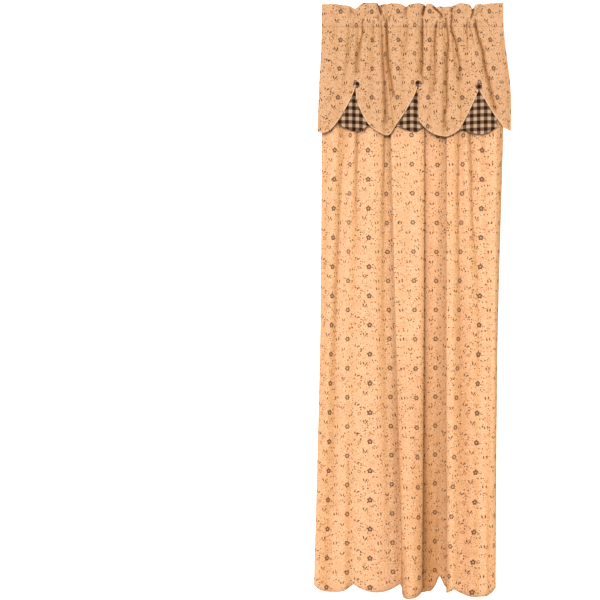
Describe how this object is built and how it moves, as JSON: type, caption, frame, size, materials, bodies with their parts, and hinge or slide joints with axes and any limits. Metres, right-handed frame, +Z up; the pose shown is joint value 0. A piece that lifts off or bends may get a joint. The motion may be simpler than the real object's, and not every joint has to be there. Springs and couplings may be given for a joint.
{
  "type": "scalloped curtain panel",
  "caption": "Gathered cotton curtain panel with an empty rod pocket, a petal valance with check gussets and covered buttons, and a scalloped hem",
  "frame": {"origin": "on the axis of the rod pocket, halfway along the heading", "axes": "+Z up, X along the pocket, the front of the cloth faces -Y"},
  "size_m": [0.7125, 0.1219, 2.1383],
  "materials": {
    "panel_calico": "plain-weave cotton with a small sprigged flower print on tan",
    "valance_calico": "the same printed cotton, gathered and stitched",
    "gusset_check": "woven gingham check, black and cream",
    "button_check": "gingham stretched over a domed button"
  },
  "bodies": {
    "root": {"heading": "valance_calico", "panel": "panel_calico", "valance": "valance_calico", "gusset_1": "gusset_check", "gusset_2": "gusset_check", "gusset_3": "gusset_check", "button_1": "button_check", "button_2": "button_check", "button_3": "button_check"}
  },
  "joints": []
}
